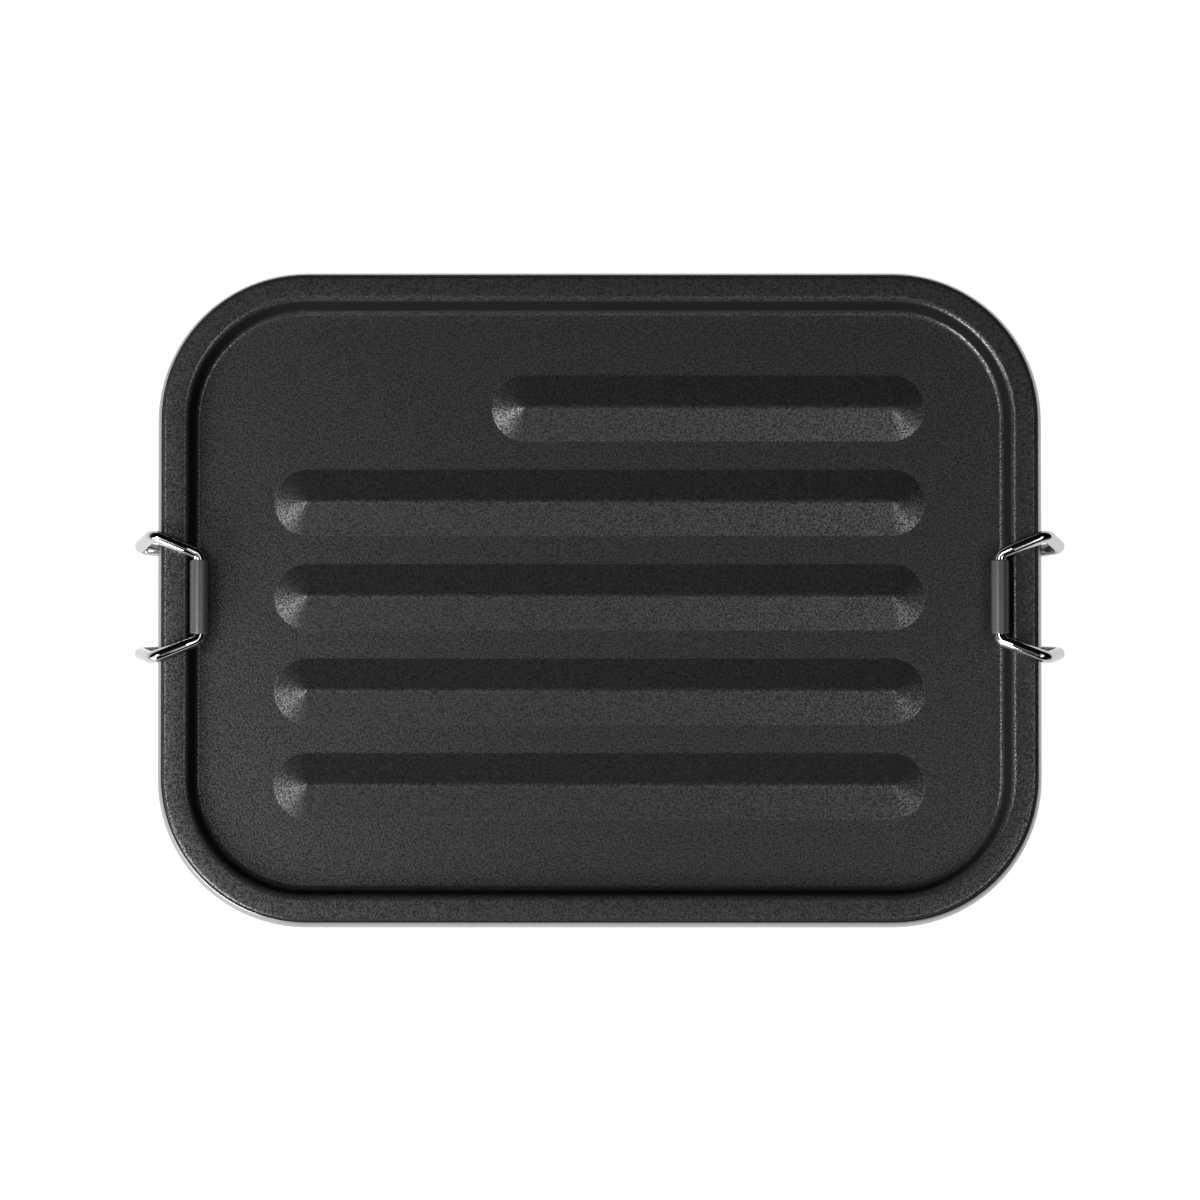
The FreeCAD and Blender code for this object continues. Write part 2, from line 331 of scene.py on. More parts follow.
@dataclass(frozen=True)
class SealRubber(Finish):
    """Grey silicone, matte with a faint bloom."""

    slot: str = "seal_rubber"
    clean: Colour = (0.36, 0.37, 0.38)
    bloomed: Colour = (0.47, 0.48, 0.49)
    roughness: float = 0.55
    bloom: float = 9.0
    bloom_detail: float = 4.0
    bloom_levels: Levels = (0.35, 0.75)
    bloom_roughness: float = 0.2
    grain: float = 0.25
    grain_depth: float = 0.006

    def shade(self, graph: Graph) -> dict[str, Value]:
        """Bloom lightens the colour and dulls the surface.

        Args:
            graph: node tree of the material.

        Returns:
            Inputs of the Principled shader.
        """
        place = graph.place()
        bloom = graph.step(graph.noise(place, self.bloom, self.bloom_detail), *self.bloom_levels)
        grain = graph.noise(place, self.grain)
        return {
            "Base Color": graph.mix(bloom, self.clean, self.bloomed),
            "Roughness": self.roughness + self.bloom_roughness * bloom,
            "Normal": graph.bump(grain, self.grain_depth),
        }


@dataclass(frozen=True)
class BrushedSteel(Finish):
    """Stamped stainless sheet, brushed along the rolled edge."""

    slot: str = "hinge_steel"
    bright: Colour = (0.68, 0.68, 0.69)
    dark: Colour = (0.52, 0.52, 0.53)
    roughness: float = 0.24
    roughness_spread: float = 0.16
    brush: float = 0.12
    brush_stretch: float = 0.03
    brush_detail: float = 3.0
    brush_levels: Levels = (0.3, 0.75)
    brush_depth: float = 0.004

    def shade(self, graph: Graph) -> dict[str, Value]:
        """Brush lines lie across the run of the sheet.

        Args:
            graph: node tree of the material.

        Returns:
            Inputs of the Principled shader.
        """
        run = graph.stretch(graph.run(), (1, self.brush_stretch, 1))
        lines = graph.noise(run, self.brush, self.brush_detail)
        tone = graph.step(lines, *self.brush_levels)
        return {
            "Base Color": graph.mix(tone, self.dark, self.bright),
            "Metallic": 1.0,
            "Roughness": self.roughness + self.roughness_spread * (1 - tone),
            "Normal": graph.bump(lines, self.brush_depth),
        }


@dataclass(frozen=True)
class TurnedAluminium(Finish):
    """Rivet aluminium, satin, with faint rings and small dents from setting."""

    slot: str = "rivet_aluminium"
    bright: Colour = (0.76, 0.76, 0.77)
    dull: Colour = (0.62, 0.62, 0.63)
    roughness: float = 0.28
    ring: float = 0.16
    ring_stretch: float = 0.01
    ring_height: float = 0.4
    ring_roughness: float = 0.1
    dent: float = 1.1
    dent_levels: Levels = (0.3, 0.7)
    depth: float = 0.006

    def shade(self, graph: Graph) -> dict[str, Value]:
        """Rings follow the run from the crown outward.

        Args:
            graph: node tree of the material.

        Returns:
            Inputs of the Principled shader.
        """
        rings = graph.noise(graph.stretch(graph.run(), (self.ring_stretch, 1, 1)), self.ring)
        dents = graph.noise(graph.place(), self.dent)
        height = rings * self.ring_height + dents
        return {
            "Base Color": graph.mix(graph.step(dents, *self.dent_levels), self.dull, self.bright),
            "Metallic": 1.0,
            "Roughness": self.roughness + self.ring_roughness * rings,
            "Normal": graph.bump(height, self.depth),
        }


@dataclass(frozen=True)
class PolishedWire(Finish):
    """Polished stainless wire with hairlines from drawing."""

    slot: str = "clip_steel"
    bright: Colour = (0.525, 0.520, 0.513)
    dark: Colour = (0.490, 0.485, 0.480)
    roughness: float = 0.07
    roughness_spread: float = 0.06
    hairline: float = 0.10
    hairline_stretch: float = 0.02
    hairline_levels: Levels = (0.35, 0.65)
    hairline_depth: float = 0.0008

    def shade(self, graph: Graph) -> dict[str, Value]:
        """Hairlines run along the wire.

        Args:
            graph: node tree of the material.

        Returns:
            Inputs of the Principled shader.
        """
        lines = graph.noise(graph.stretch(graph.run(), (self.hairline_stretch, 1, 1)), self.hairline)
        return {
            "Base Color": graph.mix(graph.step(lines, *self.hairline_levels), self.dark, self.bright),
            "Metallic": 1.0,
            "Roughness": self.roughness + self.roughness_spread * lines,
            "Normal": graph.bump(lines, self.hairline_depth),
        }


@dataclass(frozen=True)
class SatinTube(Finish):
    """Dark grey satin plastic, extruded, with faint lines along the tube."""

    slot: str = "sleeve_plastic"
    dark: Colour = (0.053, 0.053, 0.0550)
    light: Colour = (0.064, 0.064, 0.0665)
    roughness: float = 0.30
    line: float = 0.15
    line_stretch: float = 0.03
    line_detail: float = 3.0
    line_levels: Levels = (0.3, 0.7)
    line_roughness: float = 0.08
    line_depth: float = 0.002

    def shade(self, graph: Graph) -> dict[str, Value]:
        """Lines run along the tube.

        Args:
            graph: node tree of the material.

        Returns:
            Inputs of the Principled shader.
        """
        run = graph.stretch(graph.run(), (self.line_stretch, 1, 1))
        lines = graph.noise(run, self.line, self.line_detail)
        return {
            "Base Color": graph.mix(graph.step(lines, *self.line_levels), self.dark, self.light),
            "Roughness": self.roughness + self.line_roughness * lines,
            "Normal": graph.bump(lines, self.line_depth),
        }


@dataclass(frozen=True)
class FloorPaper(Finish):
    """White studio paper."""

    slot: str = "floor_paper"
    white: Colour = (0.20, 0.20, 0.20)
    shade_colour: Colour = (0.18, 0.18, 0.18)
    cloud: float = 180.0
    roughness: float = 0.9
    glow: float = 0.96

    def shade(self, graph: Graph) -> dict[str, Value]:
        """A faint cloud in the white, and a glow that keeps it pale.

        Args:
            graph: node tree of the material.

        Returns:
            Inputs of the Principled shader.
        """
        cloud = graph.noise(graph.place(), self.cloud)
        return {
            "Base Color": graph.mix(cloud, self.white, self.shade_colour),
            "Roughness": self.roughness,
            "Emission Color": WHITE,
            "Emission Strength": self.glow,
        }


# Outlines and sections

def section_point(out: float, up: float) -> Vector:
    """A point of a section: outward from the core edge, and up."""
    return Vector((out, 0.0, up))


def level(angle: float) -> Vector:
    """Level unit vector at an angle from X."""
    return Vector((math.cos(angle), math.sin(angle), 0.0))


def full_turn(count: int) -> list[float]:
    """Angles of equal steps round a circle."""
    return [2 * math.pi * i / count for i in range(count)]


def corner_arc(before: Vector, corner: Vector, after: Vector, radius: float) -> list[Vector]:
    """Points of the tangent arc that rounds one corner of a path.

    Args:
        before: the point before the corner.
        corner: the corner.
        after: the point after the corner.
        radius: radius of the arc.

    Returns:
        Points from the arc's start to its end.
    """
    back = (before - corner).normalized()
    ahead = (after - corner).normalized()
    half_angle = back.angle(ahead) / 2
    turn = math.pi - 2 * half_angle
    start = corner + back * (radius / math.tan(half_angle))
    centre = corner + (back + ahead).normalized() * (radius / math.sin(half_angle))
    steps = max(2, math.ceil(turn / ARC_STEP))
    angles = [turn * i / steps for i in range(steps + 1)]
    return [centre + (start - centre) * math.cos(a) - back * (radius * math.sin(a)) for a in angles]


def rounded_path(points: Sequence[Vector], radii: Sequence[float], closed: bool = False) -> list[Vector]:
    """Straight runs through the points, with their corners rounded.

    Args:
        points: corners of the path.
        radii: radius at each corner, 0 for a sharp one.
        closed: whether the last point joins the first.

    Returns:
        Points of the rounded path.
    """
    count = len(points)
    path: list[Vector] = []
    for i, (point, radius) in enumerate(zip(points, radii)):
        is_end = not closed and i in (0, count - 1)
        if is_end or radius == 0:
            path.append(point)
        else:
            path += corner_arc(points[i - 1], point, points[(i + 1) % count], radius)
    return path


def left_of(direction: Vector) -> Vector:
    """Unit vector to the left of a direction in the section plane."""
    return Vector((-direction.z, 0.0, direction.x))


def sheet_strip(path: Sequence[Vector], bends: Sequence[float], sheet: float, lip: float) -> list[Vector]:
    """Both faces of bent sheet as one strip that starts and ends at the path's first point.

    Args:
        path: corners along one face; the metal lies to the left.
        bends: inside radius of each bend between the path's ends.
        sheet: thickness.
        lip: rounding of the sheet's free edge, at the path's last point.

    Returns:
        Points along the near face, round the free edge and back along the far face.
    """
    runs = [(b - a).normalized() for a, b in zip(path, path[1:])]
    far = [path[0] + left_of(runs[0]) * sheet]
    near_radii, far_radii = [0.0], [0.0]
    for point, run, next_run, bend in zip(path[1:], runs, runs[1:], bends):
        left, next_left = left_of(run), left_of(next_run)
        far.append(point + (left + next_left) * (sheet / (1 + left.dot(next_left))))
        turns_left = left.dot(next_run) > 0
        near_radii.append(bend + sheet if turns_left else bend)
        far_radii.append(bend if turns_left else bend + sheet)
    far.append(path[-1] + left_of(runs[-1]) * sheet)
    near_radii.append(lip)
    far_radii.append(lip)
    return rounded_path(list(path) + far[::-1], near_radii + far_radii[::-1])


def distances(points: Sequence[Vector], closed: bool) -> list[float]:
    """Length along a path up to each of its points.

    Args:
        points: points of the path.
        closed: whether the path goes on to its first point again.

    Returns:
        The lengths, from 0 at the first point.
    """
    loop = list(points) + [points[0]] if closed else points
    total = [0.0]
    for a, b in zip(loop, loop[1:]):
        total.append(total[-1] + (b - a).length)
    return total


@dataclass(frozen=True)
class Core:
    """Rectangle through the corner axes of the box; sections are carried round it."""

    half_x: float
    half_y: float
    corner_steps: int = 24

    def ring(self, strip: Sequence[Vector]) -> list[list[Vector]]:
        """Copies of a section at every station round the rectangle.

        Args:
            strip: points of the section.

        Returns:
            One row of points for each station.
        """
        rows = []
        for quarter, (sign_x, sign_y) in enumerate(((1, 1), (-1, 1), (-1, -1), (1, -1))):
            axis = Vector((sign_x * self.half_x, sign_y * self.half_y, 0.0))
            for i in range(self.corner_steps + 1):
                out = level(math.pi / 2 * (quarter + i / self.corner_steps))
                rows.append([axis + out * p.x + UP * p.z for p in strip])
        return rows


# Meshes

class MeshMaker:
    """Gathers the faces of one piece, in millimetres, and makes it an object."""

    def __init__(self) -> None:
        """Start with no faces."""
        self.mesh = bmesh.new()
        self.uv = self.mesh.loops.layers.uv.new(RUN_UV)

    def skin(self, rows: Sequence[Sequence[Vector]], closed_rows: bool = False,
             closed_points: bool = False) -> list[list[bmesh.types.BMVert]]:
        """Cover a grid of points with faces.

        Args:
            rows: rows of points, all as long.
            closed_rows: whether the last row joins the first.
            closed_points: whether each row's last point joins its first.

        Returns:
            The vertices, in the same rows.
        """
        verts = [[self.mesh.verts.new(p) for p in row] for row in rows]
        along = distances([row[0] for row in rows], closed_rows)
        across = distances(rows[0], closed_points)
        for i in range(len(along) - 1):
            row, next_row = verts[i], verts[(i + 1) % len(rows)]
            for j in range(len(across) - 1):
                k = (j + 1) % len(row)
                face = self.mesh.faces.new((row[j], next_row[j], next_row[k], row[k]))
                runs = ((i, j), (i + 1, j), (i + 1, j + 1), (i, j + 1))
                for loop, (a, b) in zip(face.loops, runs):
                    loop[self.uv].uv = (along[a], across[b])
        return verts

    def cap(self, verts: Sequence[bmesh.types.BMVert]) -> None:
        """Close a flat loop with one face."""
        face = self.mesh.faces.new(verts)
        self._flat_runs(face)

    def fill(self, loops: Sequence[Sequence[bmesh.types.BMVert]]) -> None:
        """Fill the flat stretch between an outer loop and the loops inside it.

        Args:
            loops: vertices of each loop, the outer loop first.
        """
        edges = [self.mesh.edges.get((a, b)) for loop in loops for a, b in zip(loop, [*loop[1:], loop[0]])]
        made = bmesh.ops.triangle_fill(self.mesh, use_beauty=True, edges=edges, normal=UP)
        for face in made["geom"]:
            if isinstance(face, bmesh.types.BMFace):
                self._flat_runs(face)

    def _flat_runs(self, face: bmesh.types.BMFace) -> None:
        """Lengths along X and Y as the runs of a flat face."""
        for loop in face.loops:
            loop[self.uv].uv = loop.vert.co.xy

    def piece(self, name: str, body: str, finish: Finish, node: str,
              place: Optional[Matrix] = None) -> bpy.types.Object:
        """Make the object, dress it, and let it stand for a node of the frame.

        Args:
            name: name of the piece.
            body: body that it rides on.
            finish: its finish.
            node: the node that it replaces.
            place: where its own frame lies, in millimetres; the row frame if left out.

        Returns:
            The finished object.
        """
        bmesh.ops.remove_doubles(self.mesh, verts=self.mesh.verts, dist=MERGE_DISTANCE)
        bmesh.ops.recalc_face_normals(self.mesh, faces=self.mesh.faces)
        bmesh.ops.scale(self.mesh, vec=(MM, MM, MM), verts=self.mesh.verts)
        data = bpy.data.meshes.new(name)
        self.mesh.to_mesh(data)
        self.mesh.free()
        data.shade_smooth()
        data.set_sharp_from_angle(angle=SHARP_ANGLE)
        data.materials.append(finish.material())
        made = bpy.data.objects.new(name, data)
        bpy.context.scene.collection.objects.link(made)
        if place is not None:
            made.matrix_world = Matrix.Translation(place.translation * MM) @ place.to_3x3().to_4x4()
        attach(made, body)
        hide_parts(node)
        log.info("%s rides on %s for %s: %d faces", name, body, node, len(data.polygons))
        return made


# Box

@dataclass(frozen=True)
class BoxTray:
    """Drawn tray with drafted walls, a turned-over rim and a base pressed up inside a foot ring."""

    half_length: float
    half_width: float
    height: float
    corner_radius: float = 29.0
    sheet: float = 0.9
    draft: float = math.radians(2.0)
    bottom_bend: float = 8.1
    rim_overhang: float = 3.75
    rim_drop: float = 4.0
    rim_throat_bend: float = 0.6
    rim_edge_bend: float = 1.1
    rim_hem_bend: float = 0.3
    rim_hem_return: float = 2.0
    base_recess: float = 0.8
    base_step_run: float = 0.8
    base_step_bend: float = 0.5
    base_margin: float = 1.6
    foot_width: float = 6.0
    sheet_lip: float = 0.2

    @classmethod
    def from_frame(cls) -> "BoxTray":
        """The tray at the size that its node has."""
        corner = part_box("box_body")[1] / MM
        return cls(corner.x, corner.y, corner.z)

    @property
    def core(self) -> Core:
        """Corner axes of the box."""
        return Core(self.half_length - self.corner_radius, self.half_width - self.corner_radius)

    @property
    def crease(self) -> float:
        """Height at which the wall turns outward into the rim."""
        return self.height - self.sheet

    def wall_out(self, z: float) -> float:
        """Distance of the outer wall from the core edge at a height."""
        return self.corner_radius - self.rim_overhang - (self.crease - z) * math.tan(self.draft)

    @property
    def mouth_out(self) -> float:
        """Distance of the inner wall from the core edge, at the crease."""
        return self.wall_out(self.crease) - self.sheet / math.cos(self.draft)

    def strip(self) -> list[Vector]:
        """Section of the tray from its base to the hem of the rim and back.

        Returns:
            Points along the outer face, round the hem and back along the inner face.
        """
        bottom_out = self.wall_out(0.0)
        bottom_radius = self.bottom_bend + self.sheet
        foot_in = bottom_out - bottom_radius * math.tan((math.pi / 2 - self.draft) / 2) - self.foot_width
        hem = self.height - self.rim_drop + self.sheet
        rim_inside = self.corner_radius - self.sheet
        step_in = foot_in - self.base_step_run
        path = [
            section_point(step_in - self.base_margin, self.base_recess),
            section_point(step_in, self.base_recess),
            section_point(foot_in, 0.0),
            section_point(bottom_out, 0.0),
            section_point(self.wall_out(self.crease), self.crease),
            section_point(rim_inside, self.crease),
            section_point(rim_inside, hem),
            section_point(self.corner_radius - self.rim_hem_return, hem),
        ]
        bends = [
            self.base_step_bend, self.base_step_bend, self.bottom_bend,
            self.rim_throat_bend, self.rim_edge_bend, self.rim_hem_bend,
        ]
        return sheet_strip(path, bends, self.sheet, self.sheet_lip)

    def build(self) -> None:
        """Tray as one closed sheet."""
        maker = MeshMaker()
        rows = maker.skin(self.core.ring(self.strip()), closed_rows=True)
        for end in (0, -1):
            maker.fill([[row[end] for row in rows]])
        maker.piece("box_tray", "box", DrawnAluminium(), "box_body")


# Lid

@dataclass(frozen=True)
class Ridge:
    """Ridge of V section with a rounded crest and half-cone ends."""

    length: float
    middle: Vector
    width: float = 12.9
    slope: float = math.radians(19.0)
    crest_radius: float = 2.0
    foot_bend: float = 0.5
    margin: float = 0.6
    end_steps: int = 28
    crest_steps: int = 5

    def profile(self) -> list[Vector]:
        """Half section from the panel beside the ridge up to its crest.

        Returns:
            Points from beside the foot to the middle of the crest.
        """
        half = self.width / 2
        top = half * math.tan(self.slope) - self.crest_radius * (1 / math.cos(self.slope) - 1)
        angles = [self.slope * i / self.crest_steps for i in range(self.crest_steps + 1)]
        crest = [
            section_point(self.crest_radius * math.sin(a), top - self.crest_radius * (1 - math.cos(a)))
            for a in angles
        ]
        foot = section_point(half, 0.0)
        beside = section_point(half + self.margin, 0.0)
        return [beside] + corner_arc(beside, foot, crest[-1], self.foot_bend) + crest[::-1]

    def rows(self, z: float) -> list[list[Vector]]:
        """Loops round the ridge, from the panel at height z to the crest.

        Args:
            z: height of the panel.

        Returns:
            One loop of points for each point of the half section.
        """
        run = self.length / 2 - self.width / 2
        rows = []
        for point in self.profile():
            loop = []
            for sign in (1, -1):
                for i in range(self.end_steps + 1):
                    out = level(math.pi * (i / self.end_steps - 0.5)) * (sign * point.x)
                    loop.append(self.middle + Vector((sign * run, 0.0, z + point.z)) + out)
            rows.append(loop)
        return rows


@dataclass(frozen=True)
class PressedLid:
    """Lid pressed from one sheet: raised rim, stepped wall, sunken panel and five ridges."""

    core: Core
    edge_out: float
    top: float
    sheet: float = 0.8
    skirt: float = 2.0
    edge_bend: float = 0.95
    flange: float = 3.4
    shoulder_bend: float = 1.6
    wall_angle: float = math.radians(75.0)
    root_bend: float = 2.2
    depth: float = 5.0
    panel_margin: float = 3.0
    sheet_lip: float = 0.2
    ridge_count: int = 5
    ridge_pitch: float = 18.5
    ridge_offset: float = 0.6
    ridge_length: float = 126.6
    short_ridge_length: float = 84.3

    @classmethod
    def from_frame(cls, tray: BoxTray) -> "PressedLid":
        """The lid at the size that its node has, on the tray's corner axes."""
        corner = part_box("lid")[1] / MM
        return cls(tray.core, corner.x - tray.core.half_x, corner.z)

    @property
    def shoulder_radius(self) -> float:
        """Radius of the shoulder on the upper face."""
        return self.shoulder_bend + self.sheet

    @property
    def shoulder_out(self) -> float:
        """Where the rim and the wall would meet, measured from the core edge."""
        return self.edge_out - self.flange - self.shoulder_radius * math.tan(self.wall_angle / 2)

    def strip(self) -> list[Vector]:
        """Section of the lid from the panel over the rim to the skirt's edge and back.

        Returns:
            Points along the upper face, round the skirt's edge and back along the lower face.
        """
        panel = self.top - self.depth
        root_out = self.shoulder_out - self.depth / math.tan(self.wall_angle)
        path = [
            section_point(root_out - self.panel_margin, panel),
            section_point(root_out, panel),
            section_point(self.shoulder_out, self.top),
            section_point(self.edge_out, self.top),
            section_point(self.edge_out, self.top - self.skirt),
        ]
        bends = [self.root_bend, self.shoulder_bend, self.edge_bend]
        return sheet_strip(path, bends, -self.sheet, self.sheet_lip)

    def ridges(self) -> list[Ridge]:
        """The ridges from front to rear; the short rear one ends level with the others at the right.

        Returns:
            The ridges, placed on the panel.
        """
        made = []
        for i in range(self.ridge_count):
            is_rear = i == self.ridge_count - 1
            length = self.short_ridge_length if is_rear else self.ridge_length
            y = self.ridge_offset + (i - (self.ridge_count - 1) / 2) * self.ridge_pitch
            made.append(Ridge(length, Vector(((self.ridge_length - length) / 2, y, 0.0))))
        return made

    def build(self) -> None:
        """Lid as one closed sheet, its ridges hollow beneath."""
        maker = MeshMaker()
        rows = maker.skin(self.core.ring(self.strip()), closed_rows=True)
        panel = self.top - self.depth
        for end, z in ((0, panel), (-1, panel - self.sheet)):
            loops = [[row[end] for row in rows]]
            loops += [maker.skin(ridge.rows(z), closed_points=True)[0] for ridge in self.ridges()]
            maker.fill(loops)
        maker.piece("lid_pressing", "lid", GrainCoating(), "lid")


@dataclass(frozen=True)
class LidSeal:
    """Soft ring in the channel under the lid rim, with a lip inside the mouth of the tray."""

    lid: PressedLid
    tray: BoxTray
    skirt_gap: float = 0.3
    lip: float = 1.3
    lip_bend: float = 0.3
    mouth_clearance: float = 0.3

    def build(self) -> None:
        """Ring that fills the channel."""
        lid = self.lid
        top = lid.top - lid.sheet
        low = self.tray.height - self.lip
        inner = lid.shoulder_out + lid.sheet * math.tan(lid.wall_angle / 2)
        outer = lid.edge_out - lid.sheet - self.skirt_gap
        lip_out = self.tray.mouth_out - self.mouth_clearance
        corners = [
            section_point(outer, top),
            section_point(inner, top),
            section_point(inner - (top - low) / math.tan(lid.wall_angle), low),
            section_point(lip_out, low),
            section_point(lip_out, self.tray.height),
            section_point(outer, self.tray.height),
        ]
        radii = [lid.edge_bend, lid.shoulder_bend, self.lip_bend, self.lip_bend, 0.0, self.lip_bend]
        ring = self.tray.core.ring(rounded_path(corners, radii, closed=True))
        maker = MeshMaker()
        maker.skin(ring, closed_rows=True, closed_points=True)
        maker.piece("lid_gasket", "lid", SealRubber(), "lid_seal")


# Hinge plates and rivets

@dataclass(frozen=True)
class HingeLeaf:
    """Stamped plate on the end wall, its upper edge rolled into an eye, with two rivets."""

    pivot: Vector
    lean: float
    wall_sheet: float
    sheet: float = 0.7
    height: float = 13.0
    width: float = 15.0
    corner_radius: float = 2.5
    edge_round: float = 0.14
    tip_round: float = 0.035
    eye_middle_radius: float = 1.6
    eye_end: float = math.radians(-122.0)
    corner_steps: int = 8
    rivet_spacing: float = 8.0
    rivet_drop: float = 7.6
    rivet_radius: float = 1.5
    head_radius: float = 2.6
    head_height: float = 1.1
    tail_height: float = 0.6
    rivet_steps: int = 40

    def place(self, end: End, offset: Vector) -> Matrix:
        """Frame on the end wall: X out of the wall, Z up along it, at an offset from the eye."""
        lean = Matrix.Rotation(self.lean, 4, "Y")
        return end.turn() @ Matrix.Translation(self.pivot) @ lean @ Matrix.Translation(offset)

    def stations(self) -> list[tuple[Vector, Vector, float]]:
        """Middle of the sheet, its outward side and its half width, from the lower edge to the eye's end.

        Returns:
            Those three for each station along the sheet.
        """
        wallward = Vector((-1.0, 0.0, 0.0))
        back = -self.eye_middle_radius
        half = self.width / 2
        made = []
        for i in range(self.corner_steps + 1):
            angle = math.pi / 2 * i / self.corner_steps
            z = -self.height + self.corner_radius * (1 - math.cos(angle))
            narrowed = half - self.corner_radius * (1 - math.sin(angle))
            made.append((Vector((back, 0.0, z)), wallward, narrowed))
        turn = math.pi - self.eye_end
        steps = math.ceil(turn / ARC_STEP)
        for i in range(steps + 1):
            angle = math.pi - turn * i / steps
            side = Vector((math.cos(angle), 0.0, math.sin(angle)))
            made.append((side * self.eye_middle_radius, side, half))
        return made

    def loop(self, middle: Vector, side: Vector, half: float, shrink: float = 0.0) -> list[Vector]:
        """Outline of the sheet, cut square to its run, with rounded edges.

        Args:
            middle: middle of the sheet.
            side: direction square to the sheet.
            half: half of its width.
            shrink: how far the outline is drawn in all round.

        Returns:
            Points of the outline.
        """
        deep = self.sheet / 2 - shrink
        wide = half - shrink
        spots = ((deep, -wide), (deep, wide), (-deep, wide), (-deep, -wide))
        corners = [section_point(*spot) for spot in spots]
        radius = max(self.edge_round - shrink, self.tip_round)
        flat = rounded_path(corners, [radius] * len(corners), closed=True)
        return [middle + side * p.x + ACROSS * p.z for p in flat]

    def build_leaf(self, end: End) -> None:
        """Plate and eye as one bent sheet.

        Args:
            end: which end of the box.
        """
        stations = self.stations()
        rows = [self.loop(*station) for station in stations]
        first, last = stations[0], stations[-1]
        down = -UP * self.edge_round
        tip = Vector((last[1].z, 0.0, -last[1].x)) * self.edge_round
        rows.insert(0, self.loop(first[0] + down, first[1], first[2], self.edge_round))
        rows.append(self.loop(last[0] + tip, last[1], last[2], self.edge_round))
        maker = MeshMaker()
        verts = maker.skin(rows, closed_points=True)
        maker.cap(verts[0])
        maker.cap(verts[-1])
        node = end.word + "_hinge_plate"
        maker.piece(end.word + "_hinge_leaf", "box", BrushedSteel(), node, self.place(end, Vector()))

    def rivet_profile(self) -> list[Vector]:
        """Half section of a rivet from the crown of its head to the middle of its tail.

        Returns:
            Points of the half section.
        """
        dome_radius = (self.head_radius ** 2 + self.head_height ** 2) / (2 * self.head_height)
        dome_turn = math.asin(self.head_radius / dome_radius)
        steps = math.ceil(dome_turn / ARC_STEP)
        dome = [
            section_point(dome_radius * math.sin(a), self.head_height - dome_radius * (1 - math.cos(a)))
            for a in (dome_turn * i / steps for i in range(steps + 1))
        ]
        grip = -self.sheet - self.wall_sheet
        tail = grip - self.tail_height
        corners = [
            section_point(self.rivet_radius, 0.0),
            section_point(self.rivet_radius, grip),
            section_point(self.head_radius, grip),
            section_point(self.head_radius, tail),
            section_point(0.0, tail),
        ]
        radii = [0.0, 0.0, self.edge_round, self.tail_height / 2, 0.0]
        return dome + rounded_path(corners, radii)

    def build_rivet(self, end: End, y: float, node: str) -> None:
        """Rivet turned about its own axis, laid through the plate and the wall.

        Args:
            end: which end of the box.
            y: place along the plate.
            node: the rivet's node in the frame.
        """
        profile = self.rivet_profile()
        rows = [[level(a) * p.x + UP * p.z for p in profile] for a in full_turn(self.rivet_steps)]
        maker = MeshMaker()
        maker.skin(rows, closed_rows=True)
        face = self.sheet / 2 - self.eye_middle_radius
        place = self.place(end, Vector((face, y, -self.rivet_drop))) @ Matrix.Rotation(math.pi / 2, 4, "Y")
        maker.piece(node + "_set", "box", TurnedAluminium(), node, place)

    def build(self, end: End) -> None:
        """Plate and rivets of one end of the box.

        Args:
            end: which end of the box.
        """
        self.build_leaf(end)
        for sign, place in ((-1, "front"), (1, "rear")):
            side = sign if end is End.RIGHT else -sign
            self.build_rivet(end, side * self.rivet_spacing / 2, f"{end.word}_{place}_rivet")


# Wire clips

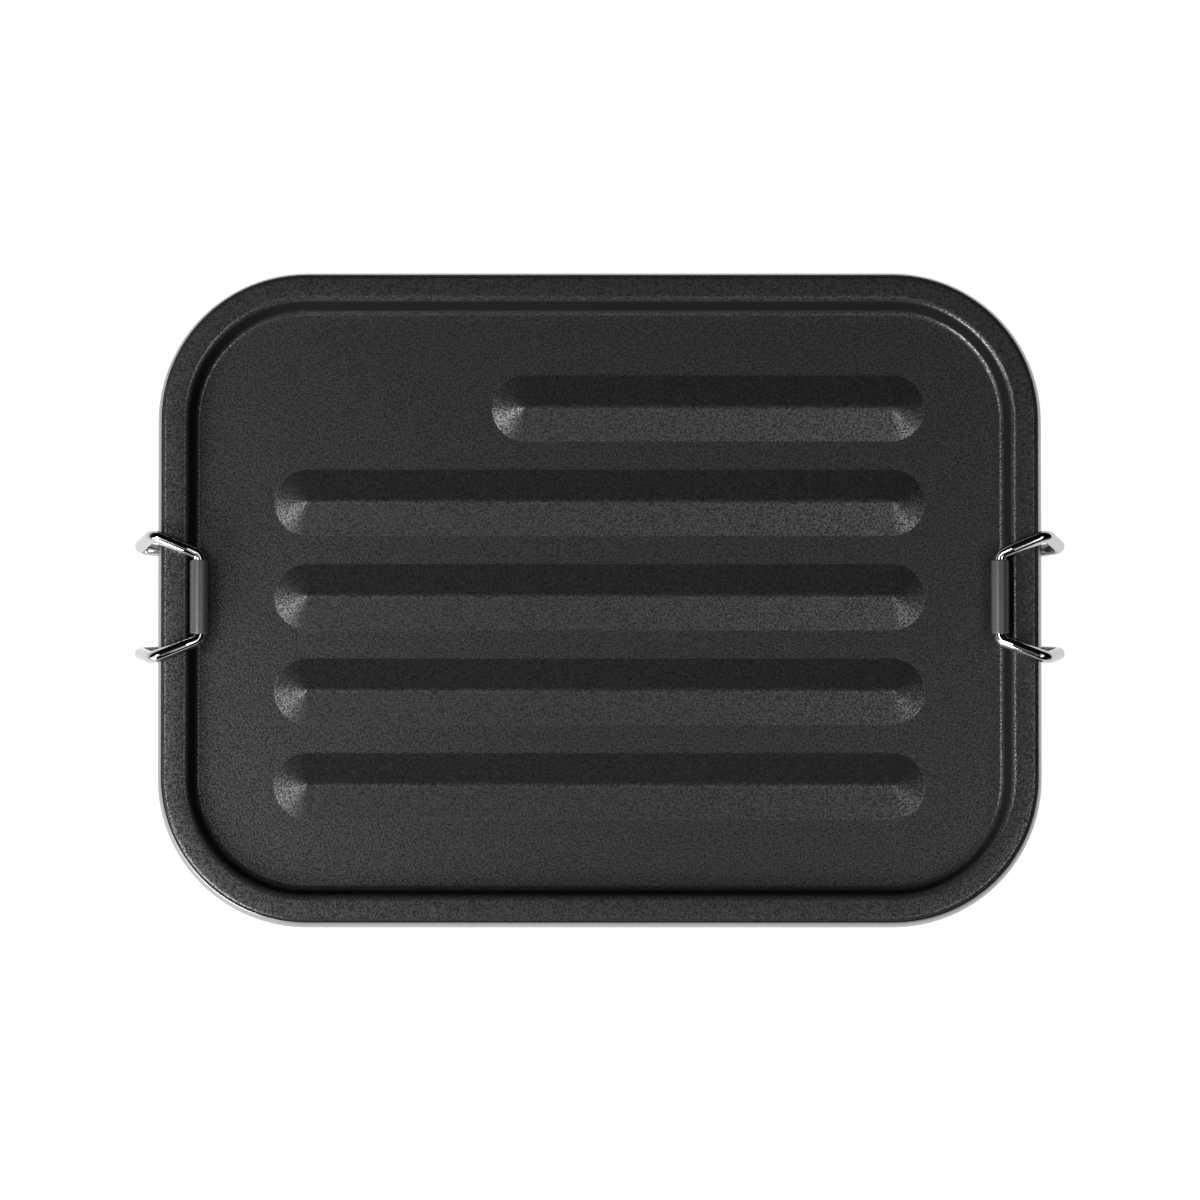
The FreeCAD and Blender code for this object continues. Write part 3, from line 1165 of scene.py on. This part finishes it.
@dataclass(frozen=True)
class WireClip:
    """Bent wire that swings over the lid rim, with a tube on its crossbar."""

    pivot: Vector
    crossbar: Vector
    box_end: float
    shoulder: Vector
    shoulder_radius: float
    sleeve_length: float
    sleeve_radius: float
    wire_radius: float = 1.2
    bend: float = 2.0
    crossbar_bend: float = 1.6
    arm_clearance: float = 0.4
    pin_start: float = 2.8
    leg_half: float = 9.8
    heel_out: float = 3.9
    heel_half: float = 10.3
    heel_rise: float = 3.1
    knee_out: float = 0.9
    knee_half: float = 12.0
    knee_rise: float = 10.4
    crossbar_half: float = 8.3
    sleeve_bore: float = 1.25
    sleeve_round: float = 0.22
    pin_round: float = 0.3
    pin_steps: int = 3
    wire_sides: int = 32
    sleeve_sides: int = 64

    @classmethod
    def from_frame(cls, tray: BoxTray, lid: PressedLid) -> "WireClip":
        """The right clip, at the places that its nodes and its joint have.

        Args:
            tray: the tray that it hangs on.
            lid: the lid that it holds down.

        Returns:
            The clip, placed at the right end.
        """
        low, high = (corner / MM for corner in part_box("right_clip_sleeve"))
        shoulder_x = lid.core.half_x + lid.edge_out - lid.flange
        return cls(
            pivot=joint_place("right_clip_swing"),
            crossbar=(low + high) / 2,
            box_end=tray.half_length,
            shoulder=Vector((shoulder_x, 0.0, lid.top - lid.shoulder_radius)),
            shoulder_radius=lid.shoulder_radius,
            sleeve_length=high.y - low.y,
            sleeve_radius=(high.x - low.x) / 2,
        )

    def wire_path(self) -> list[Vector]:
        """Centre line of the wire from pin to pin.

        Returns:
            Points of the centre line.
        """
        knee = Vector((self.box_end + self.knee_out, self.knee_half, self.pivot.z + self.knee_rise))
        reach = self.shoulder - self.pivot
        arm = self.shoulder_radius + self.arm_clearance + self.wire_radius
        over_rim = self.shoulder + reach.normalized() * arm
        share = (over_rim.x - self.crossbar.x) / (knee.x - self.crossbar.x)
        over_rim.y = self.crossbar_half + share * (self.knee_half - self.crossbar_half)
        half = [
            Vector((self.pivot.x, self.pin_start, self.pivot.z)),
            Vector((self.pivot.x, self.leg_half, self.pivot.z)),
            Vector((self.box_end + self.heel_out, self.heel_half, self.pivot.z + self.heel_rise)),
            knee,
            over_rim,
            Vector((self.crossbar.x, self.crossbar_half, self.crossbar.z)),
        ]
        bends = [0.0, self.bend, self.bend, self.bend, self.bend, self.crossbar_bend]
        far = [Vector((p.x, -p.y, p.z)) for p in half[::-1]]
        return rounded_path(half + far, bends + bends[::-1])

    def tube_rows(self, path: Sequence[Vector]) -> list[list[Vector]]:
        """Circles round a path that don't twist along it, drawn in at the two ends.

        Args:
            path: centre line of the tube.

        Returns:
            One circle of points for each station.
        """
        heading = (path[1] - path[0]).normalized()
        side = UP.cross(heading).normalized()
        last = len(path) - 1
        rows: list[list[Vector]] = []
        for i, point in enumerate(path):
            before, after = path[max(i - 1, 0)], path[min(i + 1, last)]
            next_heading = ((after - point).normalized() + (point - before).normalized()).normalized()
            side = heading.rotation_difference(next_heading) @ side
            heading = next_heading
            if i == 0:
                rows += self.pin_tip(point, heading, side, -1)[::-1]
            elif i == last:
                rows += self.pin_tip(point, heading, side, 1)
            else:
                rows.append(self.circle(point, heading, side, self.wire_radius))
        return rows

    def pin_tip(self, tip: Vector, heading: Vector, side: Vector, sign: int) -> list[list[Vector]]:
        """Circles that draw in to the flat tip of a pin.

        Args:
            tip: middle of the tip.
            heading: direction of the wire at the tip.
            side: direction in which the circles start.
            sign: 1 where the wire ends, -1 where it starts.

        Returns:
            The circles, the tip's own last.
        """
        made = []
        for i in range(1, self.pin_steps + 1):
            turn = math.pi / 2 * i / self.pin_steps
            radius = self.wire_radius - self.pin_round * (1 - math.cos(turn))
            spot = tip + heading * (sign * self.pin_round * (math.sin(turn) - 1))
            made.append(self.circle(spot, heading, side, radius))
        return made

    def circle(self, centre: Vector, heading: Vector, side: Vector, radius: float) -> list[Vector]:
        """Points of a circle square to a heading.

        Args:
            centre: middle of the circle.
            heading: direction square to it.
            side: direction from the middle to the first point.
            radius: radius of the circle.

        Returns:
            The points.
        """
        other = heading.cross(side)
        angles = full_turn(self.wire_sides)
        return [centre + (side * math.cos(a) + other * math.sin(a)) * radius for a in angles]

    def build_wire(self, end: End) -> None:
        """The wire as one tube.

        Args:
            end: which end of the box.
        """
        maker = MeshMaker()
        verts = maker.skin(self.tube_rows(self.wire_path()), closed_points=True)
        maker.cap(verts[0])
        maker.cap(verts[-1])
        body = end.word + "_clip"
        maker.piece(body + "_bail", body, PolishedWire(), body + "_wire", end.turn())

    def build_sleeve(self, end: End) -> None:
        """The tube on the crossbar, its ends rounded.

        Args:
            end: which end of the box.
        """
        half = self.sleeve_length / 2
        corners = [
            section_point(self.sleeve_radius, -half),
            section_point(self.sleeve_radius, half),
            section_point(self.sleeve_bore, half),
            section_point(self.sleeve_bore, -half),
        ]
        profile = rounded_path(corners, [self.sleeve_round] * len(corners), closed=True)
        around = [Vector((math.cos(a), 0.0, math.sin(a))) for a in full_turn(self.sleeve_sides)]
        rows = [[self.crossbar + ACROSS * p.z + out * p.x for out in around] for p in profile]
        maker = MeshMaker()
        maker.skin(rows, closed_rows=True, closed_points=True)
        body = end.word + "_clip"
        maker.piece(body + "_tube", body, SatinTube(), body + "_sleeve", end.turn())

    def build(self, end: End) -> None:
        """Wire and tube of one clip."""
        self.build_wire(end)
        self.build_sleeve(end)


def joint_place(name: str) -> Vector:
    """A point on a joint's axis, in millimetres."""
    joint = next(j for j in frame["joints"] if j["name"] == name)
    return Vector(joint["pos_m"]) / MM


# Studio

@dataclass(frozen=True)
class Softbox:
    """Area light that faces the box from a compass direction and an angle from overhead."""

    name: str
    compass_deg: float
    overhead_deg: float
    distance_m: float
    width_m: float
    height_m: float
    watts: float

    def build(self, target: Vector) -> None:
        """Hang the light and turn it to the target.

        Args:
            target: the point that it faces, in metres.
        """
        overhead = math.radians(self.overhead_deg)
        side = level(math.radians(self.compass_deg))
        direction = side * math.sin(overhead) + UP * math.cos(overhead)
        lamp = bpy.data.lights.new(self.name, "AREA")
        lamp.shape = "RECTANGLE"
        lamp.size = self.width_m
        lamp.size_y = self.height_m
        lamp.energy = self.watts
        made = bpy.data.objects.new(self.name, lamp)
        made.location = target + direction * self.distance_m
        made.rotation_mode = "QUATERNION"
        made.rotation_quaternion = direction.to_track_quat("Z", "Y")
        made.visible_camera = False
        bpy.context.scene.collection.objects.link(made)
        log.info("light %s of %.2f W", self.name, self.watts)


LIGHT_PLAN = (
    Softbox("key_softbox", compass_deg=200.0, overhead_deg=36.0, distance_m=0.40,
            width_m=0.10, height_m=0.10, watts=0.17),
    Softbox("fill_softbox", compass_deg=330.0, overhead_deg=30.0, distance_m=0.45,
            width_m=0.12, height_m=0.12, watts=0.32),
    Softbox("left_softbox", compass_deg=180.0, overhead_deg=30.0, distance_m=0.60,
            width_m=0.15, height_m=0.15, watts=0.85),
    Softbox("low_left_softbox", compass_deg=222.0, overhead_deg=60.0, distance_m=0.60,
            width_m=0.40, height_m=0.25, watts=5.4),
    Softbox("overhead_left_softbox", compass_deg=195.0, overhead_deg=22.0, distance_m=0.40,
            width_m=0.12, height_m=0.12, watts=0.09),
    Softbox("overhead_front_softbox", compass_deg=270.0, overhead_deg=16.0, distance_m=0.60,
            width_m=0.25, height_m=0.20, watts=0.04),
    Softbox("right_softbox", compass_deg=0.0, overhead_deg=28.0, distance_m=0.60,
            width_m=0.20, height_m=0.20, watts=0.26),
    Softbox("front_softbox", compass_deg=300.0, overhead_deg=32.0, distance_m=0.45,
            width_m=0.12, height_m=0.12, watts=0.06),
)


@dataclass(frozen=True)
class Studio:
    """White floor, soft lights and the camera above the box."""

    lid_top: float
    camera_tilt_deg: float = 6.0
    camera_distance_m: float = 3.8
    clip_start_m: float = 0.1
    clip_end_m: float = 50.0
    frame_width: float = 233.4
    aim_x: float = 0.06
    aim_y: float = -0.49
    sensor: float = 36.0
    floor_half_m: float = 6.0
    floor_gap: float = 0.02
    ceiling_glow: float = 0.004
    wall_glow: float = 1.0
    wall_levels: Levels = (0.05, 0.40)
    side_levels: Levels = (-0.6, 0.6)

    def build_camera(self) -> None:
        """Camera that looks down from just in front of overhead."""
        tilt = math.radians(self.camera_tilt_deg)
        target = Vector((self.aim_x, self.aim_y, self.lid_top)) * MM
        away = Vector((0.0, -math.sin(tilt), math.cos(tilt)))
        data = bpy.data.cameras.new("overhead_camera")
        data.sensor_width = self.sensor
        data.lens = self.sensor * self.camera_distance_m / (self.frame_width * MM)
        data.clip_start = self.clip_start_m
        data.clip_end = self.clip_end_m
        camera = bpy.data.objects.new("overhead_camera", data)
        camera.location = target + away * self.camera_distance_m
        camera.rotation_mode = "QUATERNION"
        camera.rotation_quaternion = away.to_track_quat("Z", "Y")
        bpy.context.scene.collection.objects.link(camera)
        bpy.context.scene.camera = camera

    def build_floor(self) -> None:
        """Flat white floor under the box."""
        half, z = self.floor_half_m, -self.floor_gap * MM
        corners = [(-half, -half, z), (half, -half, z), (half, half, z), (-half, half, z)]
        data = bpy.data.meshes.new("studio_floor")
        data.from_pydata(corners, [], [range(len(corners))])
        data.materials.append(FloorPaper().material())
        floor = bpy.data.objects.new("studio_floor", data)
        bpy.context.scene.collection.objects.link(floor)

    def build_world(self) -> None:
        """Bright low walls at the front and left, under a dim ceiling."""
        world = bpy.data.worlds.new("studio_world")
        world.use_nodes = True
        graph = Graph(world.node_tree)
        heading = graph.node("ShaderNodeTexCoord", output="Generated")
        height = graph.dot(heading, UP)
        open_side = graph.step(graph.dot(heading, FRONT_LEFT), *self.side_levels)
        walls = open_side * (1 - graph.step(height, *self.wall_levels))
        ceiling, wall = (
            graph.node("ShaderNodeBackground", {}, {"Color": WHITE, "Strength": glow})
            for glow in (self.ceiling_glow, self.ceiling_glow + self.wall_glow)
        )
        surface = graph.node("ShaderNodeMixShader", {}, {0: walls, 1: ceiling, 2: wall})
        graph.node("ShaderNodeOutputWorld", {}, {"Surface": surface})
        bpy.context.scene.world = world

    def build(self) -> None:
        """Everything round the box."""
        self.build_camera()
        self.build_floor()
        self.build_world()
        target = Vector((0.0, 0.0, self.lid_top)) * MM
        for light in LIGHT_PLAN:
            light.build(target)
        bpy.context.scene.view_settings.view_transform = "Standard"


def main() -> None:
    """Build the lunch box piece by piece, then the studio round it."""
    logging.basicConfig(level=logging.INFO, format="%(name)s: %(message)s")
    tray = BoxTray.from_frame()
    lid = PressedLid.from_frame(tray)
    clip = WireClip.from_frame(tray, lid)
    leaf = HingeLeaf(clip.pivot, tray.draft, tray.sheet)
    tray.build()
    lid.build()
    LidSeal(lid, tray).build()
    for end in End:
        leaf.build(end)
        clip.build(end)
    Studio(lid.top).build()


if __name__ == "__main__":
    main()
